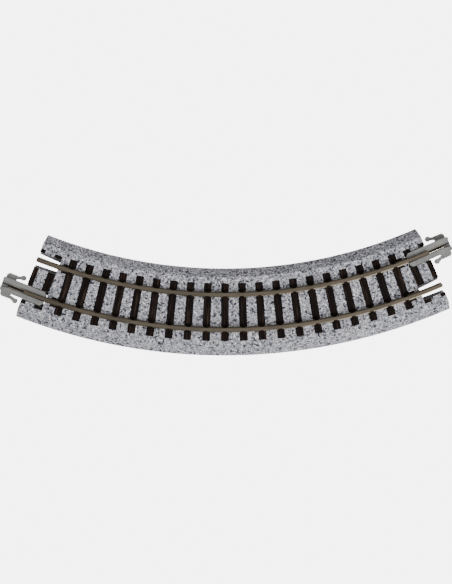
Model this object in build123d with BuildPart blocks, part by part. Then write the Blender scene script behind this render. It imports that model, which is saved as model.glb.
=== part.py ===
from build123d import *
import os
from math import cos, degrees, radians, sin

# Curved model railway track section, 9 mm gauge, with a moulded ballast roadbed.
#
# A hollow roadbed shell carries a strip of moulded sleepers, staked through its top skin. The strip's
# chairs hold two bent rails. At each end the roadbed has two slots, one round each rail. The slot on
# the left, as seen looking out of that end, holds a clip-on rail joiner: a plastic housing with a
# folded metal contact inside and two springy latch arms. The other slot is empty, and takes the
# joiner of the next track section.
#
# Frame: +Z up, origin on the underside at the middle of the curve's centreline, the centre of
# curvature on +Y, and +X along the chord.
#
# Every end feature is drawn in that end's own plane: x points out of the end, z up, and the joiner
# sits at +RAIL_OFFSET in y.

# ---- Driving dimensions (millimetres, degrees) ----
# Track
CURVE_RADIUS = 150.0
CURVE_ANGLE = 45.0
GAUGE = 9.0  # between the inner faces of the rail heads

# Rails
RAIL_HEIGHT = 2.0
RAIL_HEAD_WIDTH = 0.92
RAIL_HEAD_DEPTH = 0.48
RAIL_HEAD_ROUND = 0.12
RAIL_NECK_SLOPE = 0.14
RAIL_WEB = 0.45
RAIL_FOOT_WIDTH = 1.5
RAIL_FOOT_EDGE = 0.22
RAIL_FOOT_RISE = 0.2
RAIL_END_GAP = 0.05  # from the rail's end to the roadbed's end face

# Roadbed
BALLAST_TOP = 4.8
BALLAST_LEDGE = 1.75  # flat ballast past the sleepers' ends
SHOULDER_RUN = 2.6  # how far the sloping shoulder spreads
ROADBED_LIP = 0.6  # upright edge below the sloping shoulder
SHELL_WALL = 1.2
SKIN_THICKNESS = 1.3
RIB_THICKNESS = 1.0
RIB_SPACING = 4  # in sleeper pitches
BASE_WALL = 2.2  # beside the space under the joiners' shelves

# Sleepers
SLEEPER_SPACING = 5.1  # along the centreline, before it is fitted to the curve's length
SLEEPER_OVERHANG = 3.65  # past the rails, from the gauge line
SLEEPER_WIDTH = 2.1
SLEEPER_THICKNESS = 0.8
SLEEPER_PROUD = 0.2  # above the ballast
SLEEPER_BEVEL = 0.12
STRIP_CLEARANCE = 0.05  # round the strip in its pockets
WEB_DROP = 0.15  # from the sleepers' tops to the webs that join them under the rails
WEB_INSET = 0.05  # from the edges of the rail's foot to the web's
PAD_OVERHANG = 0.55  # of the broad pad beside the slots, past the rail's foot
PAD_LENGTH = 1.6

# Chairs that hold the rails
CHAIR_LENGTH = 1.1
CHAIR_WIDTH = 0.5
CHAIR_HEADROOM = 0.12  # above the edge of the rail's foot
CHAIR_LIP = 0.2
CHAIR_LIP_THICKNESS = 0.16
CHAIR_GAP = 0.03

# Pegs that stake the strip to the roadbed
PEG_SIDE = 1.2
PEG_HEAD = 2.2
PEG_HEAD_THICKNESS = 0.5
PEG_OFFSET = 2.6  # from the centreline
PEG_SLEEPERS = (3, 7, -8, -4)  # counted from either end of the strip

# Cut sleepers, set in the roadbed's ends
CUT_SLEEPER_AT = 5.41  # from the end face to the middle of the second one
INSERT_THICKNESS = 0.6
INSERT_END_WIDTH = 1.45  # of the narrow one at the end face
INSERT_GAP = 0.04  # to the slots

# Slots and pockets for the joiners
END_WALL = 0.9
SLOT_CLEARANCE = 0.15
SLOT_END_GAP = 0.3  # behind the joiner
SLOT_MOUTH_BEVEL = 0.05
POCKET_END_GAP = 0.9  # behind the joiner, under the skin
POCKET_SIDE_GAP = 0.2  # beside the latches' bulbs
POCKET_HEADROOM = 0.1  # above the wings
SHELF_THICKNESS = 1.1
SHELF_GAP_MOUTH = 1.7  # half width of the gap through the shelf, at the end face
SHELF_GAP_BACK = 1.35
LATCH_HOOK = 0.25  # how far a bulb catches behind the end wall

# Joiner housing
JOINER_FRONT = 6.8  # from the end face
JOINER_REAR = 6.2
JOINER_WALL = 1.01  # beside the contact's seat
JOINER_DEPTH = 2.55  # below the rail
JOINER_SHOULDER = 0.95  # above the rail's underside
JOINER_CORNER = 0.5
PRONG_TAPER = 0.75
PRONG_PLAY = 0.28  # each side of the rail's foot, between the prongs
PRONG_STEP = 0.15  # the prongs' tops are this much lower
PRONG_STEP_LENGTH = 2.2
FUNNEL_FLARE = 0.45  # each side, from the slit to the nose
SLIT_PLAY = 0.2  # from the rail head's side to the housing's slit
CORE_WALL = 0.85  # round and above the hollow in the housing's underside
CORE_START = -4.8
CORE_END = 5.6

# Joiner contact
CONTACT_METAL = 0.18
CONTACT_REAR = 3.75
CONTACT_FRONT = 4.75
CONTACT_PLAY = 0.08  # each side of the rail's foot
CONTACT_LIP_GAP = 0.095  # each side of the rail's web
CONTACT_LIP_PLAY = 0.06  # between the rail's foot and the folded lips
CONTACT_TAB_WIDTH = 0.9
CONTACT_TAB_AT = 0.5
SEAT_PLAY = 0.03  # round the contact in the housing

# Joiner wings and latch arms
WING_FRONT = 6.4
WING_REAR = 3.4
WING_INSET = 0.7  # from the bulbs' reach to the wings' sides
WING_THICKNESS = 1.5
WING_CORNER = 0.6
LATCH_THICKNESS = 1.3
LATCH_REACH = 2.15  # of the bulb, past the housing's side
LATCH_INSET = 0.6  # from the wing's side to the arm's pivot
LATCH_ROOT_RADIUS = 0.45
LATCH_ROOT_PLAY = 0.04
LATCH_TIP_X = 0.95
LATCH_BULB_RADIUS = 0.74
LATCH_NECK_RADIUS = 0.52

# ---- Derived values ----
CUT_MARGIN = 1.0  # how far cutting shapes run past the faces that they cut
RAIL_OFFSET = GAUGE / 2 + RAIL_HEAD_WIDTH / 2
RAILS = {"inner": -RAIL_OFFSET, "outer": RAIL_OFFSET}
HALF_ANGLE = CURVE_ANGLE / 2
CURVE_CENTRE = (0, CURVE_RADIUS, 0)
CURVE_AXIS = Axis(CURVE_CENTRE, (0, 0, 1))

SLEEPER_ROOM = radians(CURVE_ANGLE) * CURVE_RADIUS - 2 * CUT_SLEEPER_AT
SLEEPER_COUNT = round(SLEEPER_ROOM / SLEEPER_SPACING) - 1  # full sleepers, between the cut ones
SLEEPER_PITCH = SLEEPER_ROOM / (SLEEPER_COUNT + 1)
SLEEPER_LENGTH = GAUGE + 2 * SLEEPER_OVERHANG
SLEEPER_TOP = BALLAST_TOP + SLEEPER_PROUD
SLEEPER_BOTTOM = SLEEPER_TOP - SLEEPER_THICKNESS
WEB_WIDTH = RAIL_FOOT_WIDTH - 2 * WEB_INSET
WEB_TOP = SLEEPER_TOP - WEB_DROP
PAD_WIDTH = RAIL_FOOT_WIDTH + 2 * PAD_OVERHANG
CHAIR_RISE = RAIL_FOOT_EDGE + CHAIR_HEADROOM

ROADBED_TOP_WIDTH = SLEEPER_LENGTH + 2 * BALLAST_LEDGE
ROADBED_WIDTH = ROADBED_TOP_WIDTH + 2 * SHOULDER_RUN
SKIN_UNDERSIDE = BALLAST_TOP - SKIN_THICKNESS

CONTACT_HALF_WIDTH = RAIL_FOOT_WIDTH / 2 + CONTACT_PLAY + CONTACT_METAL
CONTACT_BOTTOM = SLEEPER_TOP - CHAIR_GAP - CONTACT_METAL
CONTACT_LIP_EDGE = RAIL_WEB / 2 + CONTACT_LIP_GAP
SEAT_HALF_WIDTH = CONTACT_HALF_WIDTH + SEAT_PLAY
SEAT_FLOOR = CONTACT_BOTTOM - SEAT_PLAY
SLIT_HALF_WIDTH = RAIL_HEAD_WIDTH / 2 + SLIT_PLAY
PRONG_GAP_HALF = RAIL_FOOT_WIDTH / 2 + PRONG_PLAY
FUNNEL_HALF_WIDTH = SLIT_HALF_WIDTH + FUNNEL_FLARE

JOINER_HALF_WIDTH = SEAT_HALF_WIDTH + JOINER_WALL
JOINER_BOTTOM = SLEEPER_TOP - JOINER_DEPTH
JOINER_TOP = SLEEPER_TOP + JOINER_SHOULDER
CORE_HALF_WIDTH = JOINER_HALF_WIDTH - CORE_WALL
CORE_ROOF = SEAT_FLOOR - CORE_WALL
LATCH_HALF_SPAN = JOINER_HALF_WIDTH + LATCH_REACH
WING_TOP = JOINER_BOTTOM + WING_THICKNESS
WING_HALF_WIDTH = LATCH_HALF_SPAN - WING_INSET
LATCH_TOP = JOINER_BOTTOM + LATCH_THICKNESS
LATCH_PIVOT_X = WING_REAR
LATCH_PIVOT_Y = WING_HALF_WIDTH - LATCH_INSET

SLOT_DEPTH = JOINER_REAR + SLOT_END_GAP
SLOT_HALF_WIDTH = JOINER_HALF_WIDTH + SLOT_CLEARANCE
POCKET_DEPTH = JOINER_REAR + POCKET_END_GAP
POCKET_HALF_WIDTH = LATCH_HALF_SPAN + POCKET_SIDE_GAP
POCKET_ROOF = WING_TOP + POCKET_HEADROOM
SHELF_TOP = JOINER_BOTTOM - SLOT_CLEARANCE
DOOR_HALF_WIDTH = LATCH_HALF_SPAN - LATCH_HOOK
SLOT_MOUTH_HALF_WIDTH = SLOT_HALF_WIDTH + SLOT_MOUTH_BEVEL
INSERT_MIDDLE_HALF = RAIL_OFFSET - SLOT_MOUTH_HALF_WIDTH - INSERT_GAP
INSERT_STUB_START = RAIL_OFFSET + SLOT_MOUTH_HALF_WIDTH + INSERT_GAP


def lip_underside(y):
    """Height of the contact's sloping lips above the rail's foot, at a distance from the rail's middle."""
    slope = RAIL_FOOT_RISE / (RAIL_FOOT_WIDTH / 2 - RAIL_WEB / 2)
    return SLEEPER_TOP + RAIL_FOOT_EDGE + CONTACT_LIP_PLAY + slope * (RAIL_FOOT_WIDTH / 2 - y)


CONTACT_TOP = lip_underside(CONTACT_LIP_EDGE) + CONTACT_METAL
SEAT_ROOF = CONTACT_TOP + SEAT_PLAY


def arc_degrees(length):
    """The angle that a length along the centreline subtends."""
    return degrees(length / CURVE_RADIUS)


def section_plane(angle, offset=0.0):
    """Upright plane across the track at an angle from the middle: x outwards, y up."""
    turn = radians(angle)
    outward = Vector(sin(turn), -cos(turn), 0)
    origin = Vector(*CURVE_CENTRE) + outward * (CURVE_RADIUS + offset)
    return Plane(origin=origin, x_dir=outward, z_dir=(-cos(turn), -sin(turn), 0))


def end_plane(side, across=0.0):
    """Level plane at an end's face: x out of the track, y to the left, side -1 left or 1 right."""
    turn = radians(side * HALF_ANGLE)
    out = Vector(side * cos(turn), side * sin(turn), 0)
    left = Vector(-out.Y, out.X, 0)
    middle = Vector(CURVE_RADIUS * sin(turn), CURVE_RADIUS * (1 - cos(turn)), 0)
    return Plane(origin=middle + left * across, x_dir=out, z_dir=(0, 0, 1))


def curve_plane(height):
    """Level plane centred on the curve's axis."""
    return Plane(origin=(0, CURVE_RADIUS, height))


ENDS = {"left": end_plane(-1), "right": end_plane(1)}
JOINER_SEATS = {name: end_plane(side, RAIL_OFFSET) for name, side in (("left", -1), ("right", 1))}
PITCH_ANGLE = arc_degrees(SLEEPER_PITCH)
LAST_SLEEPER = (SLEEPER_COUNT - 1) / 2 * PITCH_ANGLE
PAD_ANGLE = LAST_SLEEPER + arc_degrees(SLEEPER_WIDTH / 2 + PAD_LENGTH)


def sleeper_places(pitches):
    """Locations round the curve's axis, at these numbers of pitches from the middle."""
    turns = [radians(p * PITCH_ANGLE - 90) for p in pitches]
    return [
        Location((CURVE_RADIUS * cos(t), CURVE_RADIUS * sin(t), 0), (0, 0, degrees(t)))
        for t in turns
    ]


STRIP_PITCHES = [i - (SLEEPER_COUNT - 1) / 2 for i in range(SLEEPER_COUNT)]
PEG_PITCHES = [STRIP_PITCHES[i] for i in PEG_SLEEPERS]


def end_inserts(clearance):
    """Draws the cut sleepers' outlines at an end, in the open sketch, grown by a clearance."""
    stub = SLEEPER_LENGTH / 2 - INSERT_STUB_START
    stub_y = INSERT_STUB_START + stub / 2
    places = (
        (-INSERT_END_WIDTH / 2, INSERT_END_WIDTH),
        (-CUT_SLEEPER_AT, SLEEPER_WIDTH),
    )
    for x, width in places:
        with Locations((x, 0)):
            Rectangle(width + 2 * clearance, 2 * (INSERT_MIDDLE_HALF + clearance))
        with Locations((x, -stub_y), (x, stub_y)):
            Rectangle(width + 2 * clearance, stub + 2 * clearance)


def slot_outline():
    """Points of the slot round a rail, open past the end face."""
    mouth = SLOT_MOUTH_HALF_WIDTH
    return [
        (-SLOT_DEPTH, -SLOT_HALF_WIDTH),
        (-SLOT_MOUTH_BEVEL, -SLOT_HALF_WIDTH),
        (0, -mouth),
        (CUT_MARGIN, -mouth),
        (CUT_MARGIN, mouth),
        (0, mouth),
        (-SLOT_MOUTH_BEVEL, SLOT_HALF_WIDTH),
        (-SLOT_DEPTH, SLOT_HALF_WIDTH),
    ]


def pad_sections(clearance):
    """Spans of angle that the four rail pads fill, as (start, arc), with a clearance."""
    extra = arc_degrees(clearance)
    arc = PAD_ANGLE - LAST_SLEEPER + extra
    return ((-PAD_ANGLE - extra, arc), (LAST_SLEEPER, arc))


def shell_outline(wall, height):
    """Polyline points of the roadbed's section, moved in by a wall, up to a height."""
    foot = ROADBED_WIDTH / 2 - wall
    slope = SHOULDER_RUN / (BALLAST_TOP - ROADBED_LIP)
    top = foot - slope * max(0.0, height - ROADBED_LIP)
    knee = min(ROADBED_LIP, height)
    return [(-foot, 0), (foot, 0), (foot, knee), (top, height), (-top, height), (-foot, knee)]


# ---- Roadbed: one hollow shell with pockets for the strip and slots for the joiners ----
with BuildPart() as roadbed:
    with BuildSketch(section_plane(-HALF_ANGLE)):
        Polygon(*shell_outline(0, BALLAST_TOP), align=None)
    revolve(axis=CURVE_AXIS, revolution_arc=CURVE_ANGLE)

    # Hollow bays between the ribs.
    rib_half = arc_degrees(RIB_THICKNESS / 2)
    bay_edge = HALF_ANGLE - arc_degrees(POCKET_DEPTH + RIB_THICKNESS)
    rib_count = int(bay_edge / PITCH_ANGLE / RIB_SPACING)
    rib_angles = [k * RIB_SPACING * PITCH_ANGLE for k in range(-rib_count, rib_count + 1)]
    bay_starts = [-bay_edge] + [a + rib_half for a in rib_angles]
    bay_stops = [a - rib_half for a in rib_angles] + [bay_edge]
    for start, stop in zip(bay_starts, bay_stops):
        # A bay no longer than a rib's thickness stays solid.
        if stop - start > 2 * rib_half:
            with BuildSketch(section_plane(start)):
                Polygon(*shell_outline(SHELL_WALL, SKIN_UNDERSIDE), align=None)
            revolve(axis=CURVE_AXIS, revolution_arc=stop - start, mode=Mode.SUBTRACT)

    # Pockets for the sleepers, the webs and the pads.
    with BuildSketch(curve_plane(SLEEPER_BOTTOM)):
        with Locations(*sleeper_places(STRIP_PITCHES)):
            Rectangle(SLEEPER_LENGTH + 2 * STRIP_CLEARANCE, SLEEPER_WIDTH + 2 * STRIP_CLEARANCE)
    extrude(amount=BALLAST_TOP - SLEEPER_BOTTOM + CUT_MARGIN, mode=Mode.SUBTRACT)
    groove_height = BALLAST_TOP - SLEEPER_BOTTOM + CUT_MARGIN
    for offset in RAILS.values():
        with BuildSketch(section_plane(-LAST_SLEEPER, offset)):
            with Locations((0, SLEEPER_BOTTOM)):
                Rectangle(
                    WEB_WIDTH + 2 * STRIP_CLEARANCE, groove_height, align=(Align.CENTER, Align.MIN)
                )
        revolve(axis=CURVE_AXIS, revolution_arc=2 * LAST_SLEEPER, mode=Mode.SUBTRACT)
        for start, arc in pad_sections(STRIP_CLEARANCE):
            with BuildSketch(section_plane(start, offset)):
                with Locations((0, SLEEPER_BOTTOM)):
                    Rectangle(
                        PAD_WIDTH + 2 * STRIP_CLEARANCE,
                        groove_height,
                        align=(Align.CENTER, Align.MIN),
                    )
            revolve(axis=CURVE_AXIS, revolution_arc=arc, mode=Mode.SUBTRACT)

    # Square holes that the strip's pegs pass through.
    with BuildSketch(curve_plane(SKIN_UNDERSIDE - CUT_MARGIN)):
        with Locations(*sleeper_places(PEG_PITCHES)):
            with Locations((-PEG_OFFSET, 0), (PEG_OFFSET, 0)):
                Rectangle(PEG_SIDE + 2 * STRIP_CLEARANCE, PEG_SIDE + 2 * STRIP_CLEARANCE)
    extrude(amount=SLEEPER_BOTTOM - SKIN_UNDERSIDE + 2 * CUT_MARGIN, mode=Mode.SUBTRACT)

    for end in ENDS.values():
        # Pockets for the cut sleepers at the end.
        with BuildSketch(end.offset(SLEEPER_TOP - INSERT_THICKNESS)):
            end_inserts(STRIP_CLEARANCE)
        extrude(amount=INSERT_THICKNESS, mode=Mode.SUBTRACT)
        # Space under the shelf.
        with BuildSketch(end):
            with Locations((-END_WALL, 0)):
                Rectangle(
                    POCKET_DEPTH - END_WALL,
                    ROADBED_WIDTH - 2 * BASE_WALL,
                    align=(Align.MAX, Align.CENTER),
                )
        extrude(amount=SHELF_TOP - SHELF_THICKNESS, mode=Mode.SUBTRACT)
        for rail_y in (-RAIL_OFFSET, RAIL_OFFSET):
            # Joiner pocket between the shelf and the skin.
            with BuildSketch(end.offset(SHELF_TOP)):
                with Locations((-END_WALL, rail_y)):
                    Rectangle(
                        POCKET_DEPTH - END_WALL,
                        2 * POCKET_HALF_WIDTH,
                        align=(Align.MAX, Align.CENTER),
                    )
                with Locations((CUT_MARGIN, rail_y)):
                    Rectangle(
                        END_WALL + 2 * CUT_MARGIN,
                        2 * DOOR_HALF_WIDTH,
                        align=(Align.MAX, Align.CENTER),
                    )
            extrude(amount=POCKET_ROOF - SHELF_TOP, mode=Mode.SUBTRACT)
            # Slot through the skin, open at the end face.
            with BuildSketch(end.offset(SHELF_TOP)):
                with Locations((0, rail_y)):
                    Polygon(*slot_outline(), align=None)
            extrude(amount=BALLAST_TOP - SHELF_TOP + CUT_MARGIN, mode=Mode.SUBTRACT)
            # Tapering gap through the shelf.
            with BuildSketch(end.offset(-CUT_MARGIN)):
                with Locations((0, rail_y)):
                    Polygon(
                        (-SLOT_DEPTH, -SHELF_GAP_BACK),
                        (0, -SHELF_GAP_MOUTH),
                        (CUT_MARGIN, -SHELF_GAP_MOUTH),
                        (CUT_MARGIN, SHELF_GAP_MOUTH),
                        (0, SHELF_GAP_MOUTH),
                        (-SLOT_DEPTH, SHELF_GAP_BACK),
                        align=None,
                    )
            extrude(amount=SHELF_TOP + 2 * CUT_MARGIN, mode=Mode.SUBTRACT)
roadbed.part.label = "roadbed"


# ---- Sleeper strip: sleepers with chairs, webs under the rails, end pads and staked pegs ----
with BuildPart() as sleeper:
    with BuildSketch(Plane.YZ.offset(-SLEEPER_LENGTH / 2)) as sleeper_section:
        with Locations((0, SLEEPER_BOTTOM)):
            Rectangle(SLEEPER_WIDTH, SLEEPER_THICKNESS, align=(Align.CENTER, Align.MIN))
        chamfer(sleeper_section.vertices().group_by(Axis.Y)[-1], SLEEPER_BEVEL)
    extrude(amount=SLEEPER_LENGTH)
    for rail_x in RAILS.values():
        for side in (-1, 1):
            near = rail_x + side * (RAIL_FOOT_WIDTH / 2 + CHAIR_GAP)
            lip = rail_x + side * (RAIL_FOOT_WIDTH / 2 - CHAIR_LIP)
            back = rail_x + side * (RAIL_FOOT_WIDTH / 2 + CHAIR_WIDTH)
            underside = SLEEPER_TOP + CHAIR_RISE
            top = underside + CHAIR_LIP_THICKNESS
            with BuildSketch(Plane.XZ.offset(-CHAIR_LENGTH / 2)):
                Polygon(
                    (near, SLEEPER_TOP),
                    (near, underside),
                    (lip, underside),
                    (lip, top),
                    (back - side * CHAIR_LIP, top),
                    (back, SLEEPER_TOP),
                    align=None,
                )
            extrude(amount=CHAIR_LENGTH)

with BuildPart() as peg:
    with BuildSketch(Plane.XY.offset(SKIN_UNDERSIDE)):
        Rectangle(PEG_SIDE, PEG_SIDE)
    extrude(amount=SLEEPER_BOTTOM - SKIN_UNDERSIDE)
    with BuildSketch(Plane.XY.offset(SKIN_UNDERSIDE)):
        Rectangle(PEG_HEAD, PEG_HEAD)
    extrude(amount=-PEG_HEAD_THICKNESS)

with BuildPart() as sleeper_strip:
    for offset in RAILS.values():
        with BuildSketch(section_plane(-LAST_SLEEPER, offset)):
            with Locations((0, SLEEPER_BOTTOM)):
                Rectangle(WEB_WIDTH, WEB_TOP - SLEEPER_BOTTOM, align=(Align.CENTER, Align.MIN))
        revolve(axis=CURVE_AXIS, revolution_arc=2 * LAST_SLEEPER)
        for start, arc in pad_sections(0):
            with BuildSketch(section_plane(start, offset)):
                with Locations((0, SLEEPER_BOTTOM)):
                    Rectangle(PAD_WIDTH, SLEEPER_THICKNESS, align=(Align.CENTER, Align.MIN))
            revolve(axis=CURVE_AXIS, revolution_arc=arc)
    with Locations(CURVE_CENTRE):
        with Locations(*sleeper_places(STRIP_PITCHES)):
            add(sleeper.part)
        with Locations(*sleeper_places(PEG_PITCHES)):
            with Locations((-PEG_OFFSET, 0), (PEG_OFFSET, 0)):
                add(peg.part)
sleeper_strip.part.label = "sleeper_strip"


# ---- Rails: flat-bottomed section, bent to the curve ----
def bent_rail(name, offset):
    """A rail at an offset outward from the centreline, standing on the sleepers."""
    with BuildPart() as rail:
        reach = HALF_ANGLE - arc_degrees(RAIL_END_GAP)
        foot = RAIL_FOOT_WIDTH / 2
        web = RAIL_WEB / 2
        head = RAIL_HEAD_WIDTH / 2
        neck = RAIL_HEIGHT - RAIL_HEAD_DEPTH
        with BuildSketch(section_plane(-reach, offset)) as profile:
            with BuildLine():
                Polyline(
                    (0, SLEEPER_TOP),
                    (foot, SLEEPER_TOP),
                    (foot, SLEEPER_TOP + RAIL_FOOT_EDGE),
                    (web, SLEEPER_TOP + RAIL_FOOT_EDGE + RAIL_FOOT_RISE),
                    (web, SLEEPER_TOP + neck - RAIL_NECK_SLOPE),
                    (head, SLEEPER_TOP + neck),
                    (head, SLEEPER_TOP + RAIL_HEIGHT),
                    (0, SLEEPER_TOP + RAIL_HEIGHT),
                )
                mirror(about=Plane.YZ)
            make_face()
            fillet(profile.vertices().group_by(Axis.Y)[-1].sort_by(Axis.X)[::2], RAIL_HEAD_ROUND)
        revolve(axis=CURVE_AXIS, revolution_arc=2 * reach)
    rail.part.label = name
    return rail.part


# ---- Cut sleepers: inserts in the roadbed's ends, beside and between the slots ----
def end_sleepers(name, end):
    """The middle parts and stubs of an end's two cut sleepers."""
    with BuildPart() as inserts:
        with BuildSketch(end.offset(SLEEPER_TOP - INSERT_THICKNESS)):
            end_inserts(0)
        extrude(amount=INSERT_THICKNESS)
        chamfer(inserts.edges().group_by(Axis.Z)[-1], SLEEPER_BEVEL / 2)
    inserts.part.label = name
    return inserts.part


# ---- Rail joiner ----
def joiner_housing(name, seat):
    """Plastic body with rear prongs, a slit for the rail, a funnel nose and two wings."""
    with BuildPart() as housing:
        with BuildSketch(seat.offset(JOINER_BOTTOM)) as outline:
            with Locations((-JOINER_REAR, 0)):
                Rectangle(
                    JOINER_REAR + JOINER_FRONT,
                    2 * JOINER_HALF_WIDTH,
                    align=(Align.MIN, Align.CENTER),
                )
            chamfer(outline.vertices().group_by(Axis.X)[0], PRONG_TAPER)
            fillet(outline.vertices().group_by(Axis.X)[-1], JOINER_CORNER)
        extrude(amount=JOINER_TOP - JOINER_BOTTOM)
        with BuildSketch(seat.offset(JOINER_BOTTOM)) as wings:
            with Locations((WING_REAR, 0)):
                Rectangle(
                    WING_FRONT - WING_REAR, 2 * WING_HALF_WIDTH, align=(Align.MIN, Align.CENTER)
                )
            chamfer(wings.vertices().group_by(Axis.X)[-1], WING_CORNER)
            with Locations((LATCH_PIVOT_X, -LATCH_PIVOT_Y), (LATCH_PIVOT_X, LATCH_PIVOT_Y)):
                Circle(LATCH_ROOT_RADIUS + LATCH_ROOT_PLAY, mode=Mode.SUBTRACT)
        extrude(amount=WING_TOP - JOINER_BOTTOM)

        # Seat for the contact, open at the nose, and the slit above it for the rail's web and head.
        with BuildSketch(seat.offset(SEAT_FLOOR)):
            with Locations((-CONTACT_REAR - SEAT_PLAY, 0)):
                Rectangle(
                    CONTACT_REAR + SEAT_PLAY + JOINER_FRONT + CUT_MARGIN,
                    2 * SEAT_HALF_WIDTH,
                    align=(Align.MIN, Align.CENTER),
                )
            # Room between the prongs for the rail's foot.
            with Locations((-JOINER_REAR - CUT_MARGIN, 0)):
                Rectangle(
                    JOINER_REAR - CONTACT_REAR + CUT_MARGIN,
                    2 * PRONG_GAP_HALF,
                    align=(Align.MIN, Align.CENTER),
                )
        extrude(amount=SEAT_ROOF - SEAT_FLOOR, mode=Mode.SUBTRACT)
        with BuildSketch(seat.offset(SEAT_FLOOR)):
            with Locations((-JOINER_REAR - CUT_MARGIN, 0)):
                Rectangle(
                    JOINER_REAR + CUT_MARGIN + CONTACT_FRONT,
                    2 * SLIT_HALF_WIDTH,
                    align=(Align.MIN, Align.CENTER),
                )
            # Funnel that guides the next section's rail into the contact.
            slope = FUNNEL_FLARE / (JOINER_FRONT - CONTACT_FRONT)
            mouth = FUNNEL_HALF_WIDTH + slope * CUT_MARGIN
            Polygon(
                (CONTACT_FRONT, -SLIT_HALF_WIDTH),
                (JOINER_FRONT + CUT_MARGIN, -mouth),
                (JOINER_FRONT + CUT_MARGIN, mouth),
                (CONTACT_FRONT, SLIT_HALF_WIDTH),
                align=None,
            )
        extrude(amount=JOINER_TOP - SEAT_FLOOR + CUT_MARGIN, mode=Mode.SUBTRACT)
        # The prongs' tops are a step lower.
        with BuildSketch(seat.offset(JOINER_TOP - PRONG_STEP)):
            with Locations((-JOINER_REAR - CUT_MARGIN, 0)):
                Rectangle(
                    PRONG_STEP_LENGTH + CUT_MARGIN,
                    2 * JOINER_HALF_WIDTH + CUT_MARGIN,
                    align=(Align.MIN, Align.CENTER),
                )
        extrude(amount=PRONG_STEP + CUT_MARGIN, mode=Mode.SUBTRACT)
        # Hollow underside.
        with BuildSketch(seat.offset(JOINER_BOTTOM)):
            with Locations((CORE_START, 0)):
                Rectangle(
                    CORE_END - CORE_START, 2 * CORE_HALF_WIDTH, align=(Align.MIN, Align.CENTER)
                )
        extrude(amount=CORE_ROOF - JOINER_BOTTOM, mode=Mode.SUBTRACT)
        # Hole in the seat's floor for the contact's tab.
        with BuildSketch(seat.offset(CORE_ROOF - CUT_MARGIN)):
            with Locations((CONTACT_TAB_AT, 0)):
                Rectangle(CONTACT_METAL + 2 * SEAT_PLAY, CONTACT_TAB_WIDTH + 2 * SEAT_PLAY)
        extrude(amount=SEAT_FLOOR - CORE_ROOF + 2 * CUT_MARGIN, mode=Mode.SUBTRACT)
    housing.part.label = name
    return housing.part


def joiner_contact(name, seat):
    """Folded metal channel that wraps the rail's foot, with a tab down through the housing."""
    inner = CONTACT_HALF_WIDTH - CONTACT_METAL
    floor = CONTACT_BOTTOM + CONTACT_METAL
    right = [
        (CONTACT_HALF_WIDTH, CONTACT_BOTTOM),
        (CONTACT_HALF_WIDTH, lip_underside(CONTACT_HALF_WIDTH) + CONTACT_METAL),
        (CONTACT_LIP_EDGE, CONTACT_TOP),
        (CONTACT_LIP_EDGE, lip_underside(CONTACT_LIP_EDGE)),
        (inner, lip_underside(inner)),
        (inner, floor),
    ]
    left = [(-y, z) for y, z in reversed(right)]
    rear = seat.origin - seat.x_dir * CONTACT_REAR
    with BuildPart() as contact:
        with BuildSketch(Plane(origin=rear, x_dir=seat.y_dir, z_dir=seat.x_dir)):
            Polygon(*right, *left, align=None)
        extrude(amount=CONTACT_REAR + CONTACT_FRONT)
        with BuildSketch(seat.offset(CONTACT_BOTTOM)):
            with Locations((CONTACT_TAB_AT, 0)):
                Rectangle(CONTACT_METAL, CONTACT_TAB_WIDTH)
        extrude(amount=CORE_ROOF - CONTACT_BOTTOM)
    contact.part.label = name
    return contact.part


def joiner_latch(name, seat, side):
    """Springy arm with a round bulb that snaps behind the next section's end wall."""
    bulb = (LATCH_TIP_X + LATCH_BULB_RADIUS, side * (LATCH_HALF_SPAN - LATCH_BULB_RADIUS))
    with BuildPart() as latch:
        with BuildSketch(seat.offset(JOINER_BOTTOM)):
            with Locations((LATCH_PIVOT_X, side * LATCH_PIVOT_Y)):
                Circle(LATCH_ROOT_RADIUS)
            with Locations(bulb):
                Circle(LATCH_NECK_RADIUS)
            make_hull()
            with Locations(bulb):
                Circle(LATCH_BULB_RADIUS)
        extrude(amount=LATCH_TOP - JOINER_BOTTOM)
    latch.part.label = name
    return latch.part


pieces = [roadbed.part, sleeper_strip.part]
for rail_name, rail_offset in RAILS.items():
    pieces.append(bent_rail(f"{rail_name}_rail", rail_offset))
for end_name, end in ENDS.items():
    pieces.append(end_sleepers(f"{end_name}_end_sleepers", end))
for end_name, seat in JOINER_SEATS.items():
    inward = -1 if end_name == "left" else 1
    pieces.append(joiner_housing(f"{end_name}_joiner_housing", seat))
    pieces.append(joiner_contact(f"{end_name}_joiner_contact", seat))
    pieces.append(joiner_latch(f"{end_name}_joiner_inner_latch", seat, inward))
    pieces.append(joiner_latch(f"{end_name}_joiner_outer_latch", seat, -inward))

os.makedirs("parts", exist_ok=True)
for piece in pieces:
    export_step(piece, f"parts/{piece.label}.step")
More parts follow.
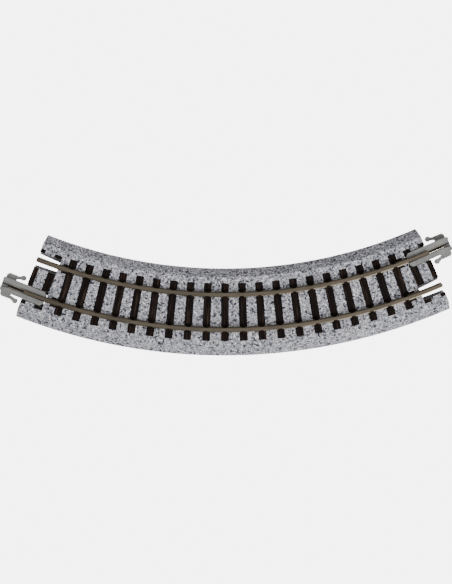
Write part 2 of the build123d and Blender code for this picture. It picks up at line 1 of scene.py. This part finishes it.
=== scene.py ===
"""Looks of the curved track section: stony ballast, grained sleepers, drawn rails and moulded joiners."""
import math
import bmesh
import bpy
import numpy as np
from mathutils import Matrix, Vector


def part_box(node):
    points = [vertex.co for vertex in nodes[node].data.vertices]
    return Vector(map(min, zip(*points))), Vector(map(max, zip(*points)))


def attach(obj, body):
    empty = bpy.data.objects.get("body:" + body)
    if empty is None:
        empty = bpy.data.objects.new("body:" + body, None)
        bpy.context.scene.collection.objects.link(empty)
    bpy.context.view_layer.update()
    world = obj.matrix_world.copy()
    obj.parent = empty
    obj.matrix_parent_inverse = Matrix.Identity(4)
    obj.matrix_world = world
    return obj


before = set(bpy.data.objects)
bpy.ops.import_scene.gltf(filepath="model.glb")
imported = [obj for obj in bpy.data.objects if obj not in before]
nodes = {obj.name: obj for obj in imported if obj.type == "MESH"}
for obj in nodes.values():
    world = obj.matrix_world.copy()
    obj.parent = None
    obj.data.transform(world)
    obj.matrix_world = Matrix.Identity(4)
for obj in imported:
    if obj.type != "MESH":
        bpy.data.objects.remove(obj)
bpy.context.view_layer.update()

MM = 0.001

# ---- The track's own dimensions, in metres and radians, as the CAD model has them ----
RADIUS = 150 * MM
HALF_ANGLE = math.radians(22.5)
RAIL_OFFSET = 4.96 * MM
HALF_TOP = 9.9 * MM  # the flat top of the roadbed, from the centreline
HALF_BASE = 12.5 * MM
RAIL_TOP = 7 * MM
CONTACT_TOP = 5.6 * MM
CHANNEL_FLOOR = 4.76 * MM  # of the joiners' channel, which the contact lies on
CHANNEL_SHADE_HALF = 0.32 * MM  # half width of the painted shade along the channel's floor
LIP = 0.6 * MM
BALLAST_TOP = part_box("roadbed")[1].z
SLEEPER_PITCH = 5.095 * MM / RADIUS
SLEEPER_COUNT = 20
SLEEPER_LENGTH = 16.4 * MM  # of the sleeper's pocket, and so with its clearance
SLEEPER_WIDTH = 2.2 * MM
PAD_WIDTH = 2.7 * MM
PAD_END = (SLEEPER_COUNT - 1) / 2 * SLEEPER_PITCH + 2.7 * MM / RADIUS
SLOT_DEPTH = 6.5 * MM
SLOT_WIDTH = 4.4 * MM
SLOT_MOUTH = 0.05 * MM
INSERT_MIDDLE = 5.54 * MM
INSERT_STUB = 1.1 * MM
INSERT_END_WIDTH = 1.55 * MM
END_GROUP = 0.04  # radians in from an end, where its holes are counted as lying

# ---- Ballast ----
GRID = 0.16 * MM  # spacing of the ballast's mesh
STONE = 0.48 * MM
RELIEF = 0.19 * MM
SKIN = 0.06 * MM  # how deep the ballast's skin reaches into the roadbed

SLOPE_RUN = HALF_BASE - HALF_TOP
SLOPE_RISE = BALLAST_TOP - LIP
SLOPE = math.hypot(SLOPE_RUN, SLOPE_RISE)

# ---- Camera and studio ----
CAMERA_PLACE = (-12.72 * MM, 5.39 * MM, 500 * MM)
CAMERA_TURN = (0.062, -1.223, -0.994)  # degrees
CAMERA_LENS = 138.9  # millimetres, on a 36 mm sensor
AMBIENT = 0.36
KEY_PLACE = (0.34, -0.35, 0.58)
KEY_POWER = 3.9
FILL_PLACE = (-0.45, 0.38, 0.45)
FILL_POWER = 0.35
FLOOR_GLOW = 6.0


def hashed(i, j, seed):
    """Repeatable random numbers from 0 to 1, one for each pair of whole numbers."""
    n = (i.astype(np.int64) * 73856093) ^ (j.astype(np.int64) * 19349663) ^ (seed * 83492791)
    n = (n ^ (n >> 13)) * 1274126177 & 0x7FFFFFFF
    n = (n ^ (n >> 15)) * 2246822519 & 0x7FFFFFFF
    return ((n ^ (n >> 12)) & 0xFFFFFF) / 0xFFFFFF


def stones(s, t, size, seed):
    """Cells of random stones: (distance to the cell's edge, offset from its centre, random numbers)."""
    u, v = s / size, t / size
    i, j = np.floor(u), np.floor(v)
    near = np.full(s.shape, 9.0)
    second = np.full(s.shape, 9.0)
    offset = [np.zeros(s.shape), np.zeros(s.shape)]
    cell = [np.zeros(s.shape), np.zeros(s.shape)]
    for di in (-1, 0, 1):
        for dj in (-1, 0, 1):
            a, b = i + di, j + dj
            du = u - a - 0.5 - 0.85 * (hashed(a, b, seed) - 0.5)
            dv = v - b - 0.5 - 0.85 * (hashed(a, b, seed + 1) - 0.5)
            distance = np.hypot(du, dv)
            closer = distance < near
            second = np.where(closer, near, np.minimum(second, distance))
            near = np.where(closer, distance, near)
            for k, (d, c) in enumerate(((du, a), (dv, b))):
                offset[k] = np.where(closer, d, offset[k])
                cell[k] = np.where(closer, c, cell[k])
    randoms = [hashed(cell[0], cell[1], seed + k) for k in range(2, 6)]
    return second - near, offset, randoms


def smooth(x, low, high):
    """0 below low, 1 above high, and a smooth step between them."""
    x = np.clip((x - low) / (high - low), 0, 1)
    return x * x * (3 - 2 * x)


def ballast_relief(s, t):
    """Height above the roadbed, 0 to 1, and the stone's tone and crevice for the material."""
    edge, offset, (lift, tilt, turn, tone) = stones(s, t, STONE, 11)
    fine_edge, _, (fine_lift, _, _, _) = stones(s, t, STONE * 0.5, 37)
    lean = (offset[0] * np.cos(turn * 6.283) + offset[1] * np.sin(turn * 6.283)) * (tilt * 0.9)
    stone = 0.35 + 0.45 * lift + 0.4 * lean + 0.12 * (fine_lift - 0.5)
    height = 0.12 + 0.88 * stone * (0.25 + 0.75 * smooth(edge, 0.0, 0.32))
    height -= 0.08 * (1 - smooth(fine_edge, 0.0, 0.2))
    return np.clip(height, 0.05, 1.0), tone, edge


def end_frame(side):
    """Middle of an end's face, the way out of it, and the way to the left as seen looking out."""
    turn = side * HALF_ANGLE
    out = np.array([side * math.cos(turn), side * math.sin(turn)])
    left = np.array([-out[1], out[0]])
    return np.array([RADIUS * math.sin(turn), RADIUS * (1 - math.cos(turn))]), out, left


def oblong(middle, way, across, length, width):
    """Corners of a rectangle."""
    a, b = way * length / 2, across * width / 2
    return [middle - a - b, middle + a - b, middle + a + b, middle - a + b]


def ballast_holes():
    """Convex outlines, in the plane, that the ballast leaves free, each with the angle where it lies."""
    holes = []
    for k in range(SLEEPER_COUNT):
        turn = (k - (SLEEPER_COUNT - 1) / 2) * SLEEPER_PITCH
        outward = np.array([math.sin(turn), -math.cos(turn)])
        along = np.array([math.cos(turn), math.sin(turn)])
        middle = np.array([0, RADIUS]) + outward * RADIUS
        holes.append((turn, oblong(middle, along, outward, SLEEPER_WIDTH, SLEEPER_LENGTH)))
    for side in (-1, 1):
        middle, out, left = end_frame(side)
        at = side * (HALF_ANGLE - END_GROUP)
        second = RADIUS * (HALF_ANGLE - (SLEEPER_COUNT + 1) / 2 * SLEEPER_PITCH)
        inserts = ((-INSERT_END_WIDTH / 2 + 0.05 * MM, INSERT_END_WIDTH), (-second, SLEEPER_WIDTH))
        for u, width in inserts:
            holes.append((at, oblong(middle + out * u, out, left, width, INSERT_MIDDLE)))
            for sign in (-1, 1):
                y = sign * (SLEEPER_LENGTH - INSERT_STUB) / 2
                holes.append((at, oblong(middle + out * u + left * y, out, left, width, INSERT_STUB)))
        for rail in (-RAIL_OFFSET, RAIL_OFFSET):
            slot = middle + left * rail - out * (SLOT_DEPTH / 2 - MM / 2)
            holes.append((at, oblong(slot, out, left, SLOT_DEPTH + MM, SLOT_WIDTH)))
            corners = [
                (-SLOT_MOUTH, -SLOT_WIDTH / 2),
                (MM, -SLOT_WIDTH / 2 - SLOT_MOUTH - MM),
                (MM, SLOT_WIDTH / 2 + SLOT_MOUTH + MM),
                (-SLOT_MOUTH, SLOT_WIDTH / 2),
            ]
            holes.append((at, [middle + out * u + left * (rail + v) for u, v in corners]))
            start = (SLEEPER_COUNT - 1) / 2 * SLEEPER_PITCH
            ring = [(start, -1), (PAD_END, -1), (PAD_END, 1), (start, 1)]
            if side < 0:
                ring.reverse()
            pad = []
            for turn, v in ring:
                r = RADIUS + rail * -side + v * PAD_WIDTH / 2
                pad.append(np.array([side * r * math.sin(turn), RADIUS - r * math.cos(turn)]))
            holes.append((at, pad))
    return holes


def section(t):
    """Distance from the centreline, height and outward normal at a distance across the ballast's surface."""
    side = np.sign(t)
    down = np.clip(np.abs(t) - HALF_TOP, 0, SLOPE)
    v = side * (np.minimum(np.abs(t), HALF_TOP) + down * SLOPE_RUN / SLOPE)
    z = BALLAST_TOP - down * SLOPE_RISE / SLOPE
    blend = smooth(np.abs(t), HALF_TOP - GRID * 1.5, HALF_TOP + GRID * 1.5)
    lean = blend * math.atan2(SLOPE_RISE, SLOPE_RUN)
    return v, z, side * np.sin(lean), np.cos(lean)


def cut_hole(bm, faces, corners):
    """Cuts a convex outline out of some faces, and returns the faces that are left."""
    centre = sum(corners) / len(corners)
    reach = max(np.hypot(*(c - centre)) for c in corners) + 2 * GRID
    near, far = [], []
    for f in faces:
        m = f.calc_center_median()
        (near if math.hypot(m.x - centre[0], m.y - centre[1]) < reach else far).append(f)
    if not near:
        return faces
    normals = []
    for k, corner in enumerate(corners):
        edge = corners[(k + 1) % len(corners)] - corner
        normal = np.array([edge[1], -edge[0]])
        if np.dot(normal, corner - centre) < 0:
            normal = -normal
        normals.append((corner, normal / np.hypot(*normal)))
    for corner, normal in normals:
        geometry = list({v for f in near for v in f.verts}) + list({e for f in near for e in f.edges}) + near
        cut = bmesh.ops.bisect_plane(
            bm, geom=geometry, dist=1e-8, plane_co=(*corner, 0), plane_no=(*normal, 0)
        )
        near = [g for g in cut["geom"] if isinstance(g, bmesh.types.BMFace)]
    inside, outside = [], []
    for f in near:
        m = f.calc_center_median()
        depth = max((m.x - c[0]) * n[0] + (m.y - c[1]) * n[1] for c, n in normals)
        (inside if depth < 0 else outside).append(f)
    bmesh.ops.delete(bm, geom=inside, context="FACES")
    return far + outside


def ballast_sheet():
    """The bare surface that carries the stones, as a fine grid with its holes cut."""
    columns = round(2 * HALF_ANGLE * RADIUS / GRID)
    rows = round(2 * (HALF_TOP + SLOPE) / GRID)
    turns = np.linspace(-HALF_ANGLE, HALF_ANGLE, columns + 1)
    across = np.linspace(-HALF_TOP - SLOPE, HALF_TOP + SLOPE, rows + 1)
    v, z, _, _ = section(across)
    angle, offset = np.meshgrid(turns, v, indexing="ij")
    height = np.broadcast_to(z, angle.shape)
    points = np.stack(
        [(RADIUS + offset) * np.sin(angle), RADIUS - (RADIUS + offset) * np.cos(angle), height], -1
    ).reshape(-1, 3)
    i, j = np.meshgrid(np.arange(columns), np.arange(rows), indexing="ij")
    first = (i * (rows + 1) + j).ravel()
    quads = np.stack([first, first + rows + 1, first + rows + 2, first + 1], -1)
    sheet = bpy.data.meshes.new("ballast")
    sheet.from_pydata(points.tolist(), [], quads.tolist())
    bm = bmesh.new()
    bm.from_mesh(sheet)
    bm.faces.ensure_lookup_table()
    windows = {}
    for turn, corners in ballast_holes():
        windows.setdefault(round(turn / SLEEPER_PITCH * 2), []).append(corners)
    margin = SLEEPER_WIDTH / RADIUS
    all_faces = list(bm.faces)
    for outlines in windows.values():
        spread = [math.atan2(c[0], RADIUS - c[1]) for o in outlines for c in o]
        first = max(np.searchsorted(turns, min(spread) - margin), 0)
        last = min(np.searchsorted(turns, max(spread) + margin), columns)
        faces = [f for f in all_faces[first * rows : last * rows] if f.is_valid]
        for outline in outlines:
            faces = cut_hole(bm, faces, outline)
    return sheet, bm


def close_skin(bm):
    """Gives the ballast a flat underside and walls round its borders, so that it is a closed body."""
    top = list(bm.faces)
    copy = bmesh.ops.duplicate(bm, geom=list(bm.verts) + list(bm.edges) + top)
    below = {v: copy["vert_map"][v] for f in top for v in f.verts}
    under = [g for g in copy["geom"] if isinstance(g, bmesh.types.BMFace)]
    bmesh.ops.reverse_faces(bm, faces=under)
    for f in top:
        for loop in f.loops:
            if loop.edge.is_boundary:
                a, b = loop.vert, loop.link_loop_next.vert
                bm.faces.new((b, a, below[a], below[b]))
    return below


def make_ballast():
    """Stones moulded over the roadbed's top and shoulders."""
    sheet, bm = ballast_sheet()
    below = close_skin(bm)
    is_top = np.array([v in below for v in bm.verts])
    base = np.array([v.co for v in bm.verts])
    lateral = RADIUS - base[:, 1]
    v = np.hypot(base[:, 0], lateral) - RADIUS
    angle = np.arctan2(base[:, 0], lateral)
    down = np.clip(np.abs(v) - HALF_TOP, 0, None) * SLOPE / SLOPE_RUN
    t = np.sign(v) * (np.minimum(np.abs(v), HALF_TOP) + down)
    _, _, nv, nz = section(t)
    height, tone, crevice = ballast_relief(angle * RADIUS + 1.0, t + 1.0)
    room = (HALF_BASE - 0.03 * MM - np.abs(v)) / np.maximum(np.abs(nv), 0.2)
    lift = np.where(is_top, np.minimum(height * RELIEF, room), -SKIN)
    radial = RADIUS + v + nv * lift
    moved = np.stack([radial * np.sin(angle), RADIUS - radial * np.cos(angle), base[:, 2] + nz * lift], -1)
    for vert, place in zip(bm.verts, moved):
        vert.co = place
    bm.to_mesh(sheet)
    for name, values in (("stone", tone), ("crevice", crevice)):
        layer = sheet.attributes.new(name, "FLOAT", "POINT")
        layer.data.foreach_set("value", values.astype(np.float32))
    bm.free()
    sheet.polygons.foreach_set("use_smooth", [True] * len(sheet.polygons))
    piece = bpy.data.objects.new("ballast", sheet)
    bpy.context.scene.collection.objects.link(piece)
    return piece


# ---- Materials ----
class Graph:
    """A material's node tree, with short ways to add to it."""

    def __init__(self, name):
        self.material = bpy.data.materials.new(name)
        self.material.use_nodes = True
        self.tree = self.material.node_tree
        self.shader = self.tree.nodes["Principled BSDF"]
        self.place = self.add("ShaderNodeTexCoord").outputs["Object"]

    def add(self, kind, inputs=None, **settings):
        node = self.tree.nodes.new(kind)
        for key, value in settings.items():
            setattr(node, key, value)
        for key, value in (inputs or {}).items():
            if isinstance(value, bpy.types.NodeSocket):
                self.tree.links.new(value, node.inputs[key])
            else:
                node.inputs[key].default_value = value
        return node

    def math(self, operation, a, b=0.0):
        return self.add("ShaderNodeMath", {0: a, 1: b}, operation=operation).outputs[0]

    def scaled(self, vector, scale):
        return self.add("ShaderNodeVectorMath", {0: vector, 1: scale}, operation="MULTIPLY").outputs[0]

    def noise(self, vector, scale, detail=3.0, roughness=0.55):
        inputs = {"Vector": vector, "Scale": scale, "Detail": detail, "Roughness": roughness}
        return self.add("ShaderNodeTexNoise", inputs).outputs["Fac"]

    def attribute(self, name):
        return self.add("ShaderNodeAttribute", attribute_name=name).outputs["Fac"]

    def ramp(self, factor, stops):
        node = self.add("ShaderNodeValToRGB", {"Fac": factor})
        elements = node.color_ramp.elements
        while len(elements) < len(stops):
            elements.new(0.5)
        for element, (position, colour) in zip(elements, stops):
            element.position = position
            element.color = (*colour, 1)
        return node.outputs["Color"]

    def span(self, factor, low, high, to_low, to_high):
        inputs = {"Value": factor, "From Min": low, "From Max": high, "To Min": to_low, "To Max": to_high}
        return self.add("ShaderNodeMapRange", inputs).outputs["Result"]

    def mix(self, factor, a, b, blend="MIX"):
        node = self.add("ShaderNodeMix", data_type="RGBA", blend_type=blend)
        for socket, value in ((node.inputs["Factor"], factor), (node.inputs[6], a), (node.inputs[7], b)):
            if isinstance(value, bpy.types.NodeSocket):
                self.tree.links.new(value, socket)
            else:
                socket.default_value = (*value, 1) if isinstance(value, tuple) else value
        return node.outputs[2]

    def bump(self, height, depth, strength=1.0):
        inputs = {"Height": height, "Distance": depth, "Strength": strength}
        self.wire(self.add("ShaderNodeBump", inputs).outputs["Normal"], "Normal")

    def wire(self, socket, name):
        self.tree.links.new(socket, self.shader.inputs[name])

    def set(self, name, value):
        self.shader.inputs[name].default_value = value

    def polar(self):
        """(distance along the curve, distance from its centre, height) in metres, as three sockets."""
        parts = self.add("ShaderNodeSeparateXYZ", {0: self.place}).outputs
        back = self.math("SUBTRACT", RADIUS, parts["Y"])
        angle = self.math("ARCTAN2", parts["X"], back)
        squares = self.math("ADD", self.math("POWER", parts["X"], 2), self.math("POWER", back, 2))
        radius = self.math("SQRT", squares)
        return self.math("MULTIPLY", angle, RADIUS), radius, parts["Z"]

    def joined(self, x, y, z):
        return self.add("ShaderNodeCombineXYZ", {0: x, 1: y, 2: z}).outputs[0]


def grey(value, blue=0.0):
    """A grey with a share more, or less, blue."""
    return (value, value, value * (1 + blue))


def ballast_material():
    g = Graph("ballast_stones")
    tones = [
        (0.0, grey(0.03, 0.35)),
        (0.1, grey(0.1, 0.25)),
        (0.2, grey(0.3, 0.12)),
        (0.45, grey(0.47, 0.09)),
        (0.82, grey(0.6, 0.07)),
        (1.0, grey(0.98, 0.03)),
    ]
    colour = g.ramp(g.attribute("stone"), tones)
    fleck = g.noise(g.place, 3400, 1.5)
    flecks = g.ramp(fleck, [(0.34, grey(0.32)), (0.47, grey(0.95)), (0.62, grey(1.75))])
    colour = g.mix(1.0, colour, flecks, "MULTIPLY")
    cloud = g.noise(g.place, 90, 2.0)
    clouds = g.ramp(cloud, [(0.3, grey(0.92, 0.03)), (0.7, grey(1.06, -0.01))])
    colour = g.mix(1.0, colour, clouds, "MULTIPLY")
    # Painted shade: each stone darkens towards its edge, in the crevices between stones.
    crevice = g.span(g.attribute("crevice"), 0.0, 0.14, 0.78, 1.0)
    colour = g.mix(1.0, colour, g.joined(crevice, crevice, crevice), "MULTIPLY")
    g.wire(colour, "Base Color")
    g.wire(g.span(fleck, 0.3, 0.7, 0.92, 0.7), "Roughness")
    g.set("Specular IOR Level", 0.2)
    g.bump(g.noise(g.place, 4200, 3.0, 0.7), 0.05 * MM, 0.6)
    return g.material


def roadbed_material():
    g = Graph("roadbed_plastic")
    fleck = g.noise(g.place, 1800, 3.0)
    colour = g.ramp(fleck, [(0.3, grey(0.24, 0.08)), (0.5, grey(0.34, 0.08)), (0.72, grey(0.42, 0.07))])
    scuff = g.noise(g.scaled(g.place, (60, 200, 200)), 1.0, 4.0)
    colour = g.mix(g.span(scuff, 0.55, 0.75, 0.0, 0.3), colour, grey(0.4, 0.06))
    g.wire(colour, "Base Color")
    g.wire(g.span(scuff, 0.3, 0.7, 0.55, 0.72), "Roughness")
    g.set("Specular IOR Level", 0.3)
    g.bump(g.noise(g.place, 2500, 4.0, 0.6), 0.03 * MM, 0.5)
    return g.material


def sleeper_material():
    """Dark brown plastic moulded with a wood grain, which runs along each sleeper."""
    g = Graph("sleeper_plastic")
    s, radius, height = g.polar()
    number = g.math("FLOOR", g.math("DIVIDE", s, SLEEPER_PITCH * RADIUS))
    along = g.math("ADD", g.math("MULTIPLY", radius, 150), g.math("MULTIPLY", number, 7.31))
    fibres = g.joined(g.math("MULTIPLY", s, 2900), along, g.math("MULTIPLY", height, 2900))
    grain = g.noise(fibres, 1.0, 4.0, 0.65)
    broad = g.noise(fibres, 0.3, 2.0, 0.5)
    each = g.add("ShaderNodeTexWhiteNoise", {"W": number}, noise_dimensions="1D").outputs["Value"]
    stops = [
        (0.3, (0.0022, 0.0015, 0.0014)),
        (0.48, (0.0075, 0.0044, 0.0038)),
        (0.58, (0.022, 0.0125, 0.0098)),
        (0.68, (0.095, 0.06, 0.043)),
    ]
    colour = g.ramp(grain, stops)
    colour = g.mix(g.span(each, 0.0, 1.0, 0.0, 0.5), colour, (0.008, 0.0035, 0.0032))
    colour = g.mix(g.span(broad, 0.56, 0.72, 0.0, 0.4), colour, (0.026, 0.014, 0.011))
    g.wire(colour, "Base Color")
    g.wire(g.span(grain, 0.3, 0.7, 0.7, 0.5), "Roughness")
    g.set("Specular IOR Level", 0.12)
    g.bump(grain, 0.06 * MM, 0.8)
    return g.material


def rail_material(name, base, dull, rough, undarkened_above, shade):
    """Drawn metal with streaks along the track, and darkened by a factor below a height: painted shade,
    partly grime on the rails.
    """
    g = Graph(name)
    s, radius, height = g.polar()
    across, upward = (g.math("MULTIPLY", distance, 9000) for distance in (radius, height))
    drawn = g.joined(g.math("MULTIPLY", s, 90), across, upward)
    streak = g.noise(drawn, 1.0, 3.0, 0.6)
    patch = g.noise(g.place, 160, 3.0)
    colour = g.mix(g.span(patch, 0.4, 0.65, 0.0, 0.7), base, dull)
    colour = g.mix(g.span(streak, 0.35, 0.7, 0.0, 0.35), colour, tuple(c * 0.6 for c in base))
    # Painted shade: everything below a height is darkened, standing in for the shade under the rail head and
    # in the channel; on the rails partly grime too.
    low_shade_and_grime = g.span(height, undarkened_above - 0.25 * MM, undarkened_above, 1.0, 0.0)
    colour = g.mix(low_shade_and_grime, colour, tuple(c * shade for c in base))
    g.wire(colour, "Base Color")
    g.set("Metallic", 1.0)
    g.wire(g.span(streak, 0.3, 0.7, rough, rough + 0.16), "Roughness")
    g.bump(streak, 0.01 * MM, 0.5)
    return g.material


def joiner_material():
    g = Graph("joiner_plastic")
    mottle = g.noise(g.place, 420, 3.0)
    colour = g.ramp(mottle, [(0.3, grey(0.29, -0.03)), (0.7, grey(0.38, -0.03))])
    fleck = g.noise(g.place, 3200, 2.0)
    colour = g.mix(g.span(fleck, 0.62, 0.75, 0.0, 0.25), colour, grey(0.45))
    # Painted shade: a dark line runs along the floor of the channel that the rail and its contact lie in.
    _, radius, height = g.polar()
    off_centre = g.math("ABSOLUTE", g.math("SUBTRACT", radius, RADIUS))
    off_rail = g.math("ABSOLUTE", g.math("SUBTRACT", off_centre, RAIL_OFFSET))
    inside = g.span(off_rail, 0.1 * MM, CHANNEL_SHADE_HALF, 1.0, 0.0)
    deep = g.span(height, CHANNEL_FLOOR + 0.2 * MM, CHANNEL_FLOOR + 0.5 * MM, 1.0, 0.0)
    above = g.span(height, CHANNEL_FLOOR - 0.1 * MM, CHANNEL_FLOOR - 0.05 * MM, 0.0, 1.0)
    channel_shade = g.math("MULTIPLY", g.math("MULTIPLY", inside, deep), above)
    colour = g.mix(channel_shade, colour, grey(0.025))
    g.wire(colour, "Base Color")
    g.wire(g.span(mottle, 0.3, 0.7, 0.42, 0.55), "Roughness")
    g.set("Specular IOR Level", 0.35)
    g.bump(g.noise(g.place, 1500, 3.0, 0.5), 0.02 * MM, 0.4)
    return g.material


def paint(material, *names):
    for name in names:
        nodes[name].data.materials.clear()
        nodes[name].data.materials.append(material)


def soften(width, *names):
    """Rounds the edges of moulded pieces a little."""
    for name in names:
        bevel = nodes[name].modifiers.new("soft_edges", "BEVEL")
        bevel.width = width
        bevel.segments = 2
        bevel.limit_method = "ANGLE"
        bevel.angle_limit = math.radians(40)


# ---- Camera, light and floor ----
def floor_material():
    """A matt white sheet, lit from behind where it is seen directly, so that it looks plain white."""
    g = Graph("white_floor")
    g.set("Base Color", (0.55, 0.55, 0.55, 1))
    g.set("Roughness", 0.9)
    glow = g.add("ShaderNodeEmission", {"Strength": FLOOR_GLOW}).outputs[0]
    seen = g.add("ShaderNodeLightPath").outputs["Is Camera Ray"]
    mixed = g.add("ShaderNodeMixShader", {0: seen, 1: g.shader.outputs[0], 2: glow}).outputs[0]
    g.tree.links.new(mixed, g.tree.nodes["Material Output"].inputs["Surface"])
    return g.material


def make_camera():
    data = bpy.data.cameras.new("camera")
    camera = bpy.data.objects.new("camera", data)
    bpy.context.scene.collection.objects.link(camera)
    camera.location = CAMERA_PLACE
    camera.rotation_euler = [math.radians(a) for a in CAMERA_TURN]
    data.sensor_fit = "HORIZONTAL"
    data.sensor_width = 36
    data.lens = CAMERA_LENS
    data.clip_start = 0.01
    bpy.context.scene.camera = camera


def area_light(name, place, aim, size, power):
    data = bpy.data.lights.new(name, "AREA")
    data.shape = "RECTANGLE"
    data.size, data.size_y = size
    data.energy = power
    light = bpy.data.objects.new(name, data)
    bpy.context.scene.collection.objects.link(light)
    light.location = place
    light.rotation_euler = (Vector(aim) - Vector(place)).to_track_quat("-Z", "Y").to_euler()


def make_studio():
    world = bpy.data.worlds.new("studio")
    bpy.context.scene.world = world
    world.use_nodes = True
    background = world.node_tree.nodes["Background"]
    background.inputs["Color"].default_value = (1, 1, 1, 1)
    background.inputs["Strength"].default_value = AMBIENT
    centre = (0, 5 * MM, 0)
    area_light("key", KEY_PLACE, centre, (0.42, 0.36), KEY_POWER)
    area_light("fill", FILL_PLACE, centre, (0.5, 0.5), FILL_POWER)
    size = 1.6
    low = -0.02 * MM
    sheet = bpy.data.meshes.new("floor")
    corners = [(-size, -size, low), (size, -size, low), (size, size, low), (-size, size, low)]
    sheet.from_pydata(corners, [], [(0, 1, 2, 3)])
    floor = bpy.data.objects.new("floor", sheet)
    bpy.context.scene.collection.objects.link(floor)
    sheet.materials.append(floor_material())


ballast = make_ballast()
ballast.data.materials.append(ballast_material())
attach(ballast, "roadbed")

paint(roadbed_material(), "roadbed")
paint(sleeper_material(), "sleeper_strip", "left_end_sleepers", "right_end_sleepers")
# The rails darken below the head: painted shade, partly grime on the web and foot.
rail = rail_material("rail_metal", (0.31, 0.26, 0.195), (0.21, 0.18, 0.135), 0.24, RAIL_TOP - 0.5 * MM, 0.45)
paint(rail, "inner_rail", "outer_rail")
# The contact darkens almost to black below its lips: painted shade on the floor between them.
contact = rail_material(
    "contact_metal", (0.95, 0.88, 0.76), (0.75, 0.68, 0.57), 0.26, CONTACT_TOP - 0.3 * MM, 0.05
)
plastic = joiner_material()
for end in ("left", "right"):
    paint(contact, f"{end}_joiner_contact")
    moulded = [f"{end}_joiner_{part}" for part in ("housing", "inner_latch", "outer_latch")]
    paint(plastic, *moulded)
    soften(0.08 * MM, *moulded)

make_camera()
make_studio()
